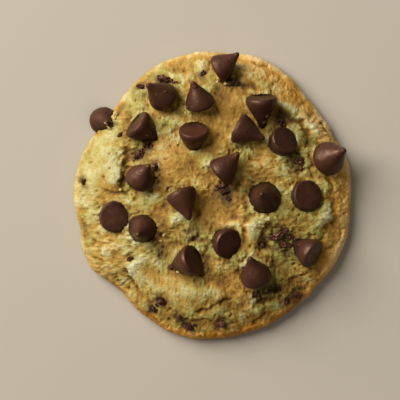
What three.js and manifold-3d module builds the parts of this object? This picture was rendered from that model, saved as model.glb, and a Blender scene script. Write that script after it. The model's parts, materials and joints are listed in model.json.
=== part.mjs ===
// A chocolate chip cookie: one round of baked dough, the whole chocolate chips half sunk in its top,
// and the broken bits of chip that show between them. Millimetres, +Z up, resting on z = 0.
import * as THREE from "three";
import { mergeVertices } from "three/addons/utils/BufferGeometryUtils.js";
import Module from "manifold-3d";

// ---- driving dimensions ----

const CROWN_HEIGHT = 13.4; // dough at its middle, before lumps
const WIDEST_HEIGHT = 2.8; // where the bulging rim is widest
const DOME_POWER = 3.2; // higher keeps the top flat for longer
const SHOULDER_POWER = 0.58; // lower makes the shoulder squarer
const FOOT_SHARE = 0.955; // radius of the flat underside, as a share of the rim's radius
const CALM_EDGE = 0.8; // share of the radius where the lumps begin to die out towards the rim
const RIM_STEP = 15; // degrees between the radii below
const RIM_RADII = [
  48.3, 48.4, 46.9, 47.7, 49.6, 50.5, 50.0, 49.8, 48.7, 45.9, 46.3, 47.8,
  48.0, 47.6, 49.2, 45.7, 47.7, 49.9, 49.8, 49.3, 48.6, 47.8, 48.2, 48.5,
]; // counter-clockwise from +X

const CHIP_RADIUS = 5.1;
const CHIP_HEIGHT = 9.8; // flat base to tip
const CHIP_SIDES = 12;
const CHIP_SUNK = 2.7; // how deep the lowest edge of a chip's base sits
const BIT_SUNK = 0.3; // how far a bit's middle lies under the crust, as a share of its half height
const BIT_FLATNESS = 0.8; // a bit's height against the mean of its length and width
const POCKET_GAP = 0.3; // clearance between the dough and every piece of chocolate
const DOUGH_DETAIL = 13; // cuts per edge of the ball that is pressed into the dough's shape

// Shares of the radius and of the height, from the edge of the flat base up to the tip.
const CHIP_PROFILE = [
  [0.93, 0],
  [1, 0.06],
  [0.99, 0.15],
  [0.87, 0.31],
  [0.64, 0.5],
  [0.39, 0.68],
  [0.23, 0.82],
  [0.16, 0.94],
];

// x, y, half length, half width, bearing of the length in degrees, height (below zero for a hollow).
const LUMPS = [
  [-37.5, 9.5, 10, 6.5, 100, 1.9],
  [-29.5, 8, 9, 1.8, 95, -1.3],
  [-27, -27, 7, 5, 60, 1.3],
  [-12, -35, 9, 6, 20, 1.0],
  [-37, -17, 6, 5, 90, 0.9],
  [-15, 11, 9, 6, 0, 0.7],
  [3, 36, 9, 5, 0, 0.7],
  [-28, 32, 5, 5, 0, 0.8],
  [13, -14, 7, 2.6, 110, 1.4],
  [6, -9, 5, 2, 0, 0.8],
  [17, 11, 6, 5, 0, 0.7],
  [36, -7, 5, 4, 60, 1.1],
  [36, 24, 6, 3.5, 130, 0.8],
  [16, 40, 8, 3, 160, 0.7],
  [5, -35, 8, 4, 20, 0.8],
  [33, -27, 6, 3.5, 40, 0.6],
  [23, -15.5, 5, 3.5, 160, -1.6],
  [20, -26, 5, 4, 0, -0.8],
  [29, 12.5, 4, 3, 60, -1.1],
  [-24.5, 15, 3.5, 3, 60, -1.2],
  [-7, -14, 4, 3, 0, -0.9],
  [-18, -20, 3, 4, 0, -0.8],
  [16.5, -34, 5, 2.5, 0, -1.0],
  [28, 27, 6, 1.8, 135, -1.0],
  [-26, -32, 9, 1.8, 120, -0.7],
];

// x, y of the middle of the base, bearing that the tip points to, tilt of the axis above level
// (below zero when the base looks up), size, and how far the tip bends to the left of its bearing.
const CHIPS = [
  [1.8, 42.8, 30, 18, 0.96, 1.2],
  [-16.2, 33.0, 140, 43, 1.03, 0.5],
  [-4.1, 30.6, 104, 31, 0.99, 0.9],
  [16.4, 33.1, -87, -16, 1.08, 0],
  [-37.9, 26.0, -30, 76, 0.97, 0],
  [-26.1, 24.5, -40, -18, 1.05, 1.0],
  [-6.4, 22.3, -90, -34, 1.02, 0],
  [8.3, 23.0, -26, 8, 1.04, 0.4],
  [24.6, 18.8, 213, -51, 1.02, 0],
  [38.7, 12.3, 21, 56, 1.17, 0.8],
  [-24.9, 5.1, 62, 50, 1.0, -0.8],
  [2.1, 7.2, 39, 11, 1.04, 1.5],
  [17.7, -1.0, 135, 79, 1.09, 0],
  [32.4, 0.0, 200, -66, 1.08, 0],
  [-11.0, 1.1, -68, 12, 1.05, -0.6],
  [-33.3, -7.3, 180, -82, 1.06, 0],
  [-23.6, -11.0, 235, 72, 0.95, 0],
  [5.5, -16.4, 153, -53, 1.05, 0],
  [-6.5, -21.6, 202, -34, 1.05, 0],
  [14.9, -28.4, 105, 38, 1.06, 0.5],
  [34.4, -20.2, 148, -26, 1.04, 0],
];

// x, y, half length, half width, bearing of the length.
const BITS = [
  [-16.6, 39.3, 2.2, 1.0, -10],
  [-24.5, 37.4, 1.4, 0.8, -15],
  [-3.2, 41.5, 1.1, 0.8, 60],
  [7.2, 38.6, 2.0, 1.0, 160],
  [-22.4, 17.4, 1.6, 1.1, 70],
  [-25.2, 13.9, 1.9, 1.2, 35],
  [-44.2, 4.5, 1.5, 0.7, 110],
  [23.6, 25.2, 1.8, 1.0, 115],
  [28.7, 11.0, 2.0, 1.6, 0],
  [3.8, 1.3, 1.7, 1.1, 10],
  [5.2, -1.0, 1.0, 0.7, 0],
  [21.7, -13.6, 1.8, 1.1, 30],
  [23.5, -17.3, 1.4, 1.0, 0],
  [17.2, -16.3, 1.7, 0.7, 80],
  [24.5, -12.2, 1.1, 0.8, 0],
  [-17.5, -35.9, 1.9, 1.4, 150],
  [-20.4, -38.8, 1.5, 0.9, 110],
  [-8.7, -44.8, 2.3, 1.3, 155],
  [-11.5, -42.0, 1.0, 0.6, 120],
  [3.1, -43.9, 1.6, 1.1, 60],
  [29.2, -34.0, 1.9, 1.4, 120],
  [25.3, -36.2, 1.4, 1.0, 60],
  [21.6, -32.5, 1.3, 0.7, 40],
  [15.5, -33.9, 1.8, 0.9, 160],
  [-18.8, -20.5, 1.0, 0.8, 30],
  [-7.2, -14.2, 1.8, 1.2, 130],
  [-28.3, -21.4, 0.9, 0.6, 0],
  [-19.3, 9.6, 1.4, 0.8, 60],
];

// ---- the shape of the dough ----

// The rim's radius at a bearing, on one smooth closed curve through the radii above.
function rimRadius(bearing) {
  const count = RIM_RADII.length;
  const place = THREE.MathUtils.euclideanModulo(bearing / RIM_STEP, count);
  const first = Math.floor(place);
  const [a, b, c, d] = [-1, 0, 1, 2].map((k) => RIM_RADII[(first + k + count) % count]);
  const t = place - first;
  const turn = (c - a) * t + (2 * a - 5 * b + 4 * c - d) * t * t + (3 * (b - c) + d - a) * t ** 3;
  return b + turn / 2;
}

// All the lumps and hollows together at a point, each a smooth oval swelling.
function lumpHeight(x, y) {
  let height = 0;
  for (const [cx, cy, length, width, bearing, rise] of LUMPS) {
    const turn = THREE.MathUtils.degToRad(bearing);
    const along = (x - cx) * Math.cos(turn) + (y - cy) * Math.sin(turn);
    const across = (y - cy) * Math.cos(turn) - (x - cx) * Math.sin(turn);
    height += rise * Math.exp(-((along / length) ** 2) - (across / width) ** 2);
  }
  return height;
}

// Height of the crust over a point of the table.
function crustHeight(x, y) {
  const bearing = THREE.MathUtils.radToDeg(Math.atan2(y, x));
  const share = Math.min(1, Math.hypot(x, y) / rimRadius(bearing));
  const dome = (1 - share ** DOME_POWER) ** SHOULDER_POWER;
  const calm = 1 - THREE.MathUtils.smoothstep(share, CALM_EDGE, 1);
  return WIDEST_HEIGHT + (CROWN_HEIGHT - WIDEST_HEIGHT) * dome + lumpHeight(x, y) * calm;
}

// A ball whose skin is spread over the cookie: most of it on the crust, a band round the bulge of the
// rim, and the rest on the flat underside.
function doughGeometry() {
  const crustPart = 0.84;
  const rimPart = 0.08;
  const crowding = 1.25; // above 1 sets the rows closer together towards the rim
  const ball = new THREE.IcosahedronGeometry(1, DOUGH_DETAIL);
  const skin = positionOnly(ball);
  const places = skin.attributes.position;
  for (let i = 0; i < places.count; i++) {
    const [px, py, pz] = [places.getX(i), places.getY(i), places.getZ(i)];
    const bearing = Math.atan2(py, px);
    const radius = rimRadius(THREE.MathUtils.radToDeg(bearing));
    const passed = (1 - pz) / 2; // share of the ball's skin above this point
    let share = 0;
    let height = 0;
    if (passed < crustPart) {
      share = 1 - (1 - Math.sqrt(passed / crustPart)) ** crowding;
      height = crustHeight(share * radius * Math.cos(bearing), share * radius * Math.sin(bearing));
    } else if (passed < crustPart + rimPart) {
      const turn = ((passed - crustPart) / rimPart) * (Math.PI / 2);
      share = FOOT_SHARE + (1 - FOOT_SHARE) * Math.cos(turn);
      height = WIDEST_HEIGHT * (1 - Math.sin(turn));
    } else {
      share = FOOT_SHARE * Math.sqrt((1 - passed) / (1 - crustPart - rimPart));
    }
    places.setXYZ(i, share * radius * Math.cos(bearing), share * radius * Math.sin(bearing), height);
  }
  return skin;
}

// ---- the chocolate ----

// A chip standing on its base, its tip up +Z and bent towards +Y. A margin makes it that much larger.
function chipGeometry(size, bend, margin = 0) {
  const height = CHIP_HEIGHT * size + 2 * margin;
  const outline = CHIP_PROFILE.map(
    ([r, h]) => new THREE.Vector2(r * CHIP_RADIUS * size + margin, h * height - margin),
  );
  const base = new THREE.Vector2(0, -margin);
  const tip = new THREE.Vector2(0, height - margin);
  const lathe = new THREE.LatheGeometry([base, ...outline, tip], CHIP_SIDES);
  lathe.rotateX(Math.PI / 2);
  const places = lathe.attributes.position;
  for (let i = 0; i < places.count; i++) {
    const climb = Math.max(0, places.getZ(i) / height);
    places.setY(i, places.getY(i) + bend * climb ** 2);
  }
  return lathe;
}

// Sets a chip down on the crust: leaned over, turned to its bearing and sunk.
function placeChip(chip, [x, y, bearing, tilt, size]) {
  const lean = THREE.MathUtils.degToRad(tilt);
  const edge = CHIP_RADIUS * size * Math.cos(lean);
  const rise = tilt < 0 ? edge / 2 + 1 : edge - CHIP_SUNK;
  chip.rotation.set(0, Math.PI / 2 - lean, THREE.MathUtils.degToRad(bearing), "ZYX");
  chip.position.set(x, y, crustHeight(x, y) + rise);
}

const bitHalfHeight = (length, width) => BIT_FLATNESS * 0.5 * (length + width);

// A broken bit: a blunt twelve-sided lump, a little lower than it is wide.
function bitGeometry(length, width, margin = 0) {
  const bit = new THREE.DodecahedronGeometry(1);
  return bit.scale(length + margin, width + margin, bitHalfHeight(length, width) + margin);
}

function placeBit(bit, [x, y, length, width, bearing]) {
  bit.rotation.z = THREE.MathUtils.degToRad(bearing);
  bit.position.set(x, y, crustHeight(x, y) - BIT_SUNK * bitHalfHeight(length, width));
}

// ---- solids ----

const wasm = await Module();
wasm.setup();

function positionOnly(geometry) {
  geometry.deleteAttribute("normal");
  geometry.deleteAttribute("uv");
  return mergeVertices(geometry, 1e-4);
}

// The mesh's shape where it stands, as a solid that can be cut.
function solidOf(mesh) {
  mesh.updateMatrix();
  const placed = positionOnly(mesh.geometry.clone().applyMatrix4(mesh.matrix));
  return new wasm.Manifold(
    new wasm.Mesh({
      numProp: 3,
      vertProperties: placed.attributes.position.array,
      triVerts: new Uint32Array(placed.index.array),
    }),
  );
}

function geometryOf(solid) {
  const mesh = solid.getMesh();
  const geometry = new THREE.BufferGeometry();
  geometry.setAttribute("position", new THREE.BufferAttribute(mesh.vertProperties, 3));
  geometry.setIndex(new THREE.BufferAttribute(mesh.triVerts, 1));
  geometry.computeVertexNormals();
  return geometry;
}

// ---- assembly ----

const bakedDough = new THREE.MeshStandardMaterial({ color: 0xc29a58, roughness: 0.85, metalness: 0 });
const darkChocolate = new THREE.MeshStandardMaterial({ color: 0x43291d, roughness: 0.35, metalness: 0 });

const cookie = new THREE.Group();
let dough = solidOf(new THREE.Mesh(doughGeometry()));

// Adds one piece of chocolate and takes its pocket out of the dough.
function press(name, geometry, pocketGeometry, place, row) {
  const piece = new THREE.Mesh(geometry, darkChocolate);
  const pocket = new THREE.Mesh(pocketGeometry);
  piece.name = name;
  place(piece, row);
  place(pocket, row);
  dough = dough.subtract(solidOf(pocket));
  cookie.add(piece);
}

const numbered = (word, index) => `${word}_${String(index + 1).padStart(2, "0")}`;

CHIPS.forEach((row, i) => {
  const [size, bend] = row.slice(4);
  const chip = chipGeometry(size, bend);
  press(numbered("chip", i), chip, chipGeometry(size, bend, POCKET_GAP), placeChip, row);
});

BITS.forEach((row, i) => {
  const [length, width] = row.slice(2);
  const bit = bitGeometry(length, width);
  press(numbered("chip_bit", i), bit, bitGeometry(length, width, POCKET_GAP), placeBit, row);
});

const doughMesh = new THREE.Mesh(geometryOf(dough), bakedDough);
doughMesh.name = "baked_dough";
cookie.add(doughMesh);

// The origin is the middle of the underside of the cookie's box.
const middle = new THREE.Box3().setFromObject(cookie, true).getCenter(new THREE.Vector3());
cookie.position.set(-middle.x, -middle.y, 0);

export default cookie;
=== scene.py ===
"""Chocolate chip cookie: crust, chocolate and studio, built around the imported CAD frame.

Lengths in the tables are millimetres in the frame's own axes; meshes are in metres.
"""

import json
import math

import bpy
import numpy as np
from bpy.props import FloatProperty, FloatVectorProperty, IntProperty, PointerProperty
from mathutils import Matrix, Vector
from mathutils.bvhtree import BVHTree

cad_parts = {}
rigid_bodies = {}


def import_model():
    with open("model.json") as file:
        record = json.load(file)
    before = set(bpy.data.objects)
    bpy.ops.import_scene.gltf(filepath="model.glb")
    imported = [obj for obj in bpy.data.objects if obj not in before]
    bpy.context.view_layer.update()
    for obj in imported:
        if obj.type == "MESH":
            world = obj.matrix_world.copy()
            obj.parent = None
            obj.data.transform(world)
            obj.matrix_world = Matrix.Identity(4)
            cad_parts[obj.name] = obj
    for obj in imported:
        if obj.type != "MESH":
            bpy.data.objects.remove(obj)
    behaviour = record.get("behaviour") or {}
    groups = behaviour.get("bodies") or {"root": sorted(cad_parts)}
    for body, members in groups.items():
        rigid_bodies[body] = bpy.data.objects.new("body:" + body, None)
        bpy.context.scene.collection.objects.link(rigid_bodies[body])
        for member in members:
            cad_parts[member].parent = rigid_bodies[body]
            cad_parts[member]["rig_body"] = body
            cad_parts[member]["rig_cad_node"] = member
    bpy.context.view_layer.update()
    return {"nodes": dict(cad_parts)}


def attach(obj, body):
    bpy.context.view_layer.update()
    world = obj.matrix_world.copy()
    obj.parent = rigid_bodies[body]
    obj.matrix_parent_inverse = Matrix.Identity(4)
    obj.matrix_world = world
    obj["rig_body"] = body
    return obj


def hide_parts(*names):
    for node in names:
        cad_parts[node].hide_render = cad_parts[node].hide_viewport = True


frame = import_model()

bl_info = {
    "name": "Chocolate chip cookie",
    "version": (1, 0, 0),
    "blender": (4, 5, 0),
    "location": "View3D > Sidebar > Cookie",
    "description": "Builds the crust, the chocolate and the studio of a chocolate chip cookie",
    "category": "Add Mesh",
}

MM = 0.001
DOUGH_NODE = "baked_dough"
CHIP_NODES = sorted(n for n in frame["nodes"] if n.startswith("chip_") and "bit" not in n)
BIT_NODES = sorted(n for n in frame["nodes"] if n.startswith("chip_bit"))
CRUST_NAME = "cookie_dough"
DOUGH_MATERIAL = "baked cookie dough"
CHOCOLATE_MATERIAL = "dark moulded chocolate"
DOWN = Vector((0, 0, -1))

# ---- the crust's own marks, one by one ----

# Cracks and creases: points along the crack, half width, depth, and how far the ground on its left
# stands above the ground on its right.
CRACKS = [
    ([(21, 31), (24, 29.3), (27, 26.6), (30, 25), (32.5, 22.5), (34.5, 20.3)], 0.45, 1.0, 1.3),
    ([(36.8, 25.6), (38.4, 23.8), (39.6, 21.6)], 0.35, 1.3, 0.5),
    ([(9, 38), (13, 37.3), (19, 36)], 0.4, 0.8, 0.4),
    ([(14, 45), (19.5, 44)], 0.3, 0.6, 0.1),
    ([(-29, 18), (-30, 14), (-30.4, 9), (-31.3, 5), (-33, 2)], 1.2, 0.8, -2.4),
    ([(-38, 2.5), (-35, 1), (-31.5, 1.2), (-28, 0.2)], 0.35, 0.7, 0.2),
    ([(-31, -23.5), (-29.6, -26.5), (-28, -29.3), (-26, -32.5), (-24, -36)], 0.4, 1.1, 0.5),
    ([(-34, -27), (-31, -30), (-28.2, -33)], 0.4, 0.5, 0.3),
    ([(25, -29.5), (29, -28), (33, -26.3)], 0.35, 0.8, 0.4),
    ([(-8, -40.3), (-3, -39.2), (3, -36.3), (8, -34)], 0.4, 0.8, 0.4),
    ([(14, -36), (20, -35.7), (24, -34.5)], 0.4, 0.9, 0.3),
    ([(-11, -43), (-5, -42.6), (1, -43.3)], 0.35, 0.8, 0.3),
    ([(10.6, -7), (10.4, -12), (11.2, -17)], 0.5, 0.8, -0.4),
    ([(18.5, -8), (17, -12), (15.6, -16), (16.5, -20)], 0.4, 0.8, -0.4),
    ([(-13.5, -44.6), (-16, -42.4)], 0.3, 0.8, 0.1),
    ([(38, 8), (40.5, 3), (41, -3), (39.5, -9)], 0.35, 0.5, -0.2),
    ([(-41, -14), (-40, -18), (-37.5, -22)], 0.3, 0.4, 0.1),
]

# Smooth ridges and swollen folds: points along the top, half width, height, and how much paler they are.
RIDGES = [
    ([(11.5, -8.5), (12.8, -13), (12.6, -18), (14, -22.5)], 2.6, 1.0, 0.03),
    ([(12, -9), (17, -8.2), (22, -6), (27, -4.5)], 2.6, 0.7, 0.02),
    ([(4, -10), (8, -9.5), (11, -10.5)], 1.3, 0.8, 0.12),
    ([(23, 31.5), (28, 28.5), (33, 24.5), (36, 21)], 1.6, 0.5, 0.06),
    # This row's slight paleness paints a highlight along the left bump's right edge.
    ([(-35, 14), (-33, 8), (-34, 3)], 3.0, 0.5, 0.05),
    ([(-28, -22), (-25, -27), (-22, -32)], 3.0, 0.6, 0.0),
    ([(-10, -8.5), (-13, -5.5)], 2.2, 0.7, 0.08),
    ([(-1, 12.5), (-2.5, 9)], 1.6, 0.6, 0.04),
    ([(37, -3), (38, -7), (35.5, -10.5)], 2.0, 0.8, 0.03),
    ([(-18, 39.5), (-14, 40.5), (-9, 39.5)], 2.0, 0.5, 0.06),
    ([(8, -36), (11, -32), (14, -30.5)], 1.6, 0.6, 0.03),
    ([(-21, -19.5), (-18, -23.5)], 2.0, 0.7, 0.05),
    ([(19, 12), (24, 9), (27, 4)], 2.2, 0.6, 0.06),
    ([(-12, -30), (-6, -33), (0, -33)], 2.6, 0.6, 0.05),
]

# Where the bake is paler (above zero) or darker, and where it is more toasted: x, y, reach, pale, toast.
# The darker patches are mostly painted shade, beside and below chips and down in hollows.
PATCHES = [
    (-38, 10, 8, 0.26, -0.7), (-38, -5, 6, 0.22, -0.3), (-36, -21, 7, 0.24, 0.1),
    (-27, 35, 4, 0.08, -0.9), (-15, 42, 5, 0.10, -0.3), (-5, 44, 5, 0.14, -0.2), (14, 43, 5, 0.05, 0.0),
    (-15, 19, 5, 0.22, -0.1), (-18, 12, 5, 0.12, 0.2), (-22, -1, 4, 0.20, -0.5),
    (-12, -8, 3.5, 0.14, -0.6), (-27, -14, 5, 0.16, -0.4), (-24, -20, 4, 0.10, -0.5),
    (-25, -28, 5, 0.24, -0.2), (-14, -33, 7, 0.16, 0.0), (5, -9, 3.5, 0.18, 0.2),
    (13, -12, 3, 0.16, 0.2), (14, -18, 2.5, 0.14, 0.2), (24, -1, 3, 0.20, -0.4),
    (37, -7, 4.5, -0.06, -0.5), (34, -11, 4, 0.02, -0.4), (17, 12, 5, 0.14, 0.0),
    (30, 22, 3.5, 0.16, -0.6), (37, 23, 3.5, 0.20, -0.7), (33.5, 15, 2.5, 0.20, -0.4),
    (-2, 10, 2.5, 0.12, -0.6), (20, 36, 3, 0.12, -0.1), (-34, 20, 4, 0.16, -0.3),
    (0, -1, 8, -0.16, 0.7), (6, -4, 5, -0.08, 0.6), (-13, 7, 7, 0.0, 0.6), (6, 32, 7, -0.02, 0.5),
    (2, 19, 6, -0.02, 0.5), (9, -33, 6, 0.0, 0.5), (-20, -10, 5, -0.08, 0.3), (-3, -27, 5, -0.06, 0.3),
    # Most rows from here darken: painted shade beside and below chips and down in hollows and creases.
    (29, 13, 4, -0.30, -0.4), (23, -15, 5, -0.34, -0.5), (25, -21, 5, -0.20, -0.3),
    (18, -33, 4, -0.30, -0.4), (-7, -14, 3, -0.28, -0.4), (-18.5, -19, 3, -0.26, -0.4),
    (27, 27, 3.5, -0.22, 0.1), (-24, 15, 3.5, -0.30, -0.2), (-29.5, 19, 2.5, -0.22, 0.5),
    (33, 19, 2.5, -0.24, -0.6), (-30, 2, 3, -0.20, 0.2), (8, 38, 3.5, -0.24, 0.1),
    (-18, 40, 3, -0.26, -0.6), (5, 2, 3, -0.24, 0.1), (-17, 21, 3, -0.16, 0.1),
    (23, -29, 3.5, -0.26, -0.4), (-29.5, 15.5, 2, -0.16, 0.9), (-30.3, 11, 2, -0.20, 0.9),
    (-31.2, 6.5, 2, -0.18, 0.9), (-33.5, 2.5, 2, -0.14, 0.8), (-13, -28, 3, -0.16, 0.1),
    (28, -33, 3.5, -0.20, 0.0), (8, 4, 4, -0.14, 0.3), (-35, 1, 3, -0.06, 0.5),
]

# Where the crust baked smooth: x, y, reach.
SMOOTH_SPOTS = [
    (-38.5, 8, 8.5), (-13, 12, 8), (2, -2, 7), (-8, -36, 7), (-24, -28, 5), (13, -14, 3), (6, 31, 5),
    (23, -3, 4), (-3, 18, 5), (-15, -33, 5),
]

# Crumbs and flakes of dough lying on the crust or against a chip: x, y, half length, half width, bearing.
DOUGH_FLAKES = [
    (-34.3, 26.4, 2.5, 0.9, 68), (-35.9, 23.4, 1.1, 0.45, 130), (-36.7, 24.5, 0.6, 0.2, 150),
    (13.2, -5.0, 0.5, 0.4, 0), (-9.4, 28.2, 0.5, 0.4, 60), (-20.0, 14.6, 0.5, 0.3, 160),
    (-11.9, -25.8, 0.7, 0.4, 30), (1.3, 38.5, 0.8, 0.5, 60), (4.3, 37.9, 0.6, 0.4, 0),
    (9.5, -8.6, 0.8, 0.4, 0), (29.4, 22.9, 0.6, 0.4, 30), (-31.5, 1.8, 0.5, 0.4, 0),
    (-12.0, 17.6, 0.5, 0.3, 30), (-16.6, -13.6, 0.6, 0.4, 45), (-17.8, -15.6, 0.5, 0.3, 0),
    (38.0, 1.2, 0.5, 0.3, 0),
]

# Smears and splinters of melted chocolate, laid out the same way.
CHOCOLATE_SMEARS = [
    (21.5, -14.0, 2.6, 1.2, 20), (24.7, -16.6, 2.2, 1.0, 150), (27.0, -14.4, 1.5, 0.8, 150),
    (29.2, 11.6, 1.9, 1.4, 0), (-17.0, 39.9, 2.6, 1.0, -12), (-14.4, 39.0, 1.4, 0.8, 10),
    (2.9, 3.2, 2.0, 1.1, 10), (-24.6, 14.6, 1.6, 1.2, 50), (-15.2, 2.3, 0.8, 0.6, 40),
    (-14.2, -23.9, 1.3, 0.7, 230), (-12.7, -25.3, 0.9, 0.4, 10), (-20.3, 7.9, 1.2, 0.8, 60),
    (-19.5, 5.9, 0.8, 0.5, 0), (-19.8, 9.7, 0.7, 0.35, 40), (2.5, 38.6, 1.2, 0.6, 150),
    (5.4, 37.8, 1.5, 0.6, 15), (2.3, 4.0, 1.2, 0.7, 60), (1.4, 2.1, 1.3, 0.6, 20),
    (-6.3, 36.4, 0.8, 0.6, 80), (-8.6, 29.6, 0.7, 0.5, 90), (-35.3, 24.3, 1.4, 0.9, 60),
    (28.4, 14.3, 1.5, 0.5, 160), (31.2, 16.5, 0.8, 0.4, 60), (29.4, -17.0, 1.5, 0.5, 170),
    (24.8, -12.2, 1.1, 0.7, 45), (20.2, -14.6, 1.0, 0.7, 20), (26.0, -14.6, 0.8, 0.6, 0),
    (18.6, -33.0, 1.2, 0.6, 30), (13.6, -34.3, 0.9, 0.6, 0), (-22.6, 20.2, 0.7, 0.5, 0),
    (-20.9, 16.3, 0.9, 0.6, 40), (-26.8, 12.2, 0.9, 0.6, 60), (-31.8, 20.6, 1.4, 0.6, 40),
    (-16.3, 34.9, 0.9, 0.4, 0), (-12.6, 38.3, 1.3, 0.6, 170), (18.2, 27.0, 0.9, 0.5, 100),
    (17.2, 24.9, 0.9, 0.6, 0), (-18.0, -13.0, 0.8, 0.5, 60), (-17.2, -17.4, 0.9, 0.5, 60),
    (-8.4, -13.0, 0.9, 0.5, 60), (30.1, 9.0, 0.9, 0.6, 0), (26.4, -34.9, 0.8, 0.5, 0),
    (-19.2, -37.5, 0.9, 0.5, 120), (-6.4, -44.4, 0.9, 0.5, 0),
]

# ---- the crust's sizes ----

WIDEST_HEIGHT = 2.8  # where the bulging rim is widest
SHOULDER_CURVE = 0.58  # how squarely the shoulder drops to the rim: 0.5 is round, 1 straight
RIM_RADIUS = 47  # for patterns that run along the rim
FOOT_SHARE = 0.955  # where the flat underside begins, as a share of the rim's radius
CRUST_ROWS = 0.93  # share of the grid's rows on the crust; the rest roll under the rim
LAST_PROBE = 0.97  # share of the radius past which the shoulder is drawn by its own curve
CLEAR_OF_POCKET = 0.55  # dough nearer to chocolate than this is the wall of a pocket
PROBE_START = 60  # height above everything, from which the crust is felt for
BIT_POCKET_MARGIN = 0.05  # how much larger a pocket is than a broken bit
LID_ROOM = 6  # how far dough is taken away above a flush chip's base
FLUSH_LEAN = 0.2  # a chip lies base up when its base faces up by more than this

SWELL_HEIGHT = 0.85  # broad swellings, 10 mm wide
SEAM_DEPTH = 0.35  # seams between the knobs
SOFT_HEIGHT = 0.08  # faint waves that even the smooth rim has
FOLD_HEIGHT = 0.2  # folds across the slope of the rim
PORE_DEPTH = 0.7  # small round holes where steam came out
PORE_SHARE = 0.22  # the share of places for a pore that have one

# What stands on the crust: its height where the crust is firm, and how much more where it is crumbly.
STANDS = {
    "knobs": (0.55, 0.35),
    "crumbs": (0.15, 0.55),
    "sand": (0.12, 0.16),
    "grit": (0.25, 0.3),
    "grain": (0.28, 0.17),
}

# Rounded lumps, each round its own point: how far apart the points are, and the seed.
LUMPS = {
    "knobs": (5.4, 51),
    "crumbs": (2.3, 61),
    "sand": (1.25, 71),
    "pores": (2.6, 131),
}

# Smooth random patterns: width of the widest wave, its seed, how many waves lie on each other, and how
# high each is beside the last.
WAVES = {
    "sway_x": (6, 11, 3, 0.5),
    "sway_y": (6, 21, 3, 0.5),
    "fray_x": (1.8, 16, 2, 0.5),
    "fray_y": (1.8, 26, 2, 0.5),
    "sand_x": (1.3, 17, 1, 0.5),
    "sand_y": (1.3, 27, 1, 0.5),
    "calm_edge": (7, 31, 1, 0.5),
    "crumbly": (10, 41, 3, 0.5),
    "seams": (6, 56, 3, 0.5),
    "swellings": (10, 81, 2, 0.5),
    "grit": (1.5, 91, 2, 0.7),
    "soft": (2.2, 96, 2, 0.5),
    "grain": (0.9, 99, 2, 0.8),
    "folds": (2.4, 101, 2, 0.5),
    "crack_x": (3.0, 141, 3, 0.5),
    "crack_y": (3.0, 151, 3, 0.5),
    "crack_open": (3.5, 146, 3, 0.5),
    "ridge_x": (3.5, 156, 3, 0.5),
    "ridge_y": (3.5, 159, 3, 0.5),
    "rim_edge": (5, 31, 3, 0.5),
    "wide_tone": (8, 161, 3, 0.5),
    "small_tone": (3.0, 171, 3, 0.5),
    "fleck_tone": (1.2, 181, 2, 0.5),
    "wide_toast": (7, 191, 3, 0.5),
    "small_toast": (2.8, 196, 3, 0.5),
    "smear_blotches": (2.2, 201, 3, 0.5),
    "amber": (5, 206, 3, 0.5),
    "lip": (4, 211, 3, 0.5),
    "bit_collar": (2.5, 221, 3, 0.5),
}

# Sides of the cookie that baked differently, and sides whose rim or slope is painted lighter as light
# falling there: the bearing each one faces, in radians from +X, and the cosines of the turn away from it
# between which it fades in.
SIDES = {
    "most_browned": (-0.87, -0.2, 0.9),
    "least_browned": (2.6, 0.0, 0.8),
    "right_edge_painted_light": (0.4, 0.0, 0.9),
    "upper_right_edge_painted_light": (0.8, 0.4, 1.0),
    "golden_slope_painted_light": (0.3, 0.2, 0.9),
    "amber_slope": (0.6, -0.1, 0.8),
    "smooth_edge": (1.8, 0.0, 0.7),
    "folded": (-0.8, -0.9, 0.6),
}

# What colours the dough where no grid of the crust says it: the underside, and the loose flakes.
UNDERSIDE_FIELDS = {"tone": 0.45, "toast": 1.0, "amber": 0.7, "hollow": 0.0, "stain": 0.0}
FLAKE_FIELDS = {"tone": 0.68, "toast": 0.35, "amber": 0.1, "hollow": 0.0, "stain": 0.0}

# ---- the chocolate's sizes ----

CHIP_ROUNDING = 0.13  # gives back what smoothing takes off a chip
CHIP_UNEVENNESS = (4, 0.3)  # width and height of its slow waves
BIT_ROUNDING = 0.3
BIT_RAGGEDNESS = ((2.4, 1.7), (0.9, 0.7))  # width and height of the coarse and the fine lumps
LUMP_RAGGEDNESS = 0.9  # width of the waves on a smear or flake
LUMP_RAGGED_SHARE = 1.6  # their height, as a share of its half width
LUMP_HEIGHT_SHARES = (0.5, 0.8)  # half height, as a share of its half width


# ---- settings ----

def linear(code):
    """A #RRGGBB colour as linear RGBA."""
    parts = [int(code[k : k + 2], 16) / 255 for k in (1, 3, 5)]
    return tuple(c / 12.92 if c <= 0.04045 else ((c + 0.055) / 1.055) ** 2.4 for c in parts) + (1.0,)


def colour(name, description, code):
    """A colour setting that starts as the sRGB hex value."""
    return FloatVectorProperty(
        name=name, description=description, default=linear(code), size=4, min=0, max=1, subtype="COLOR"
    )


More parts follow.
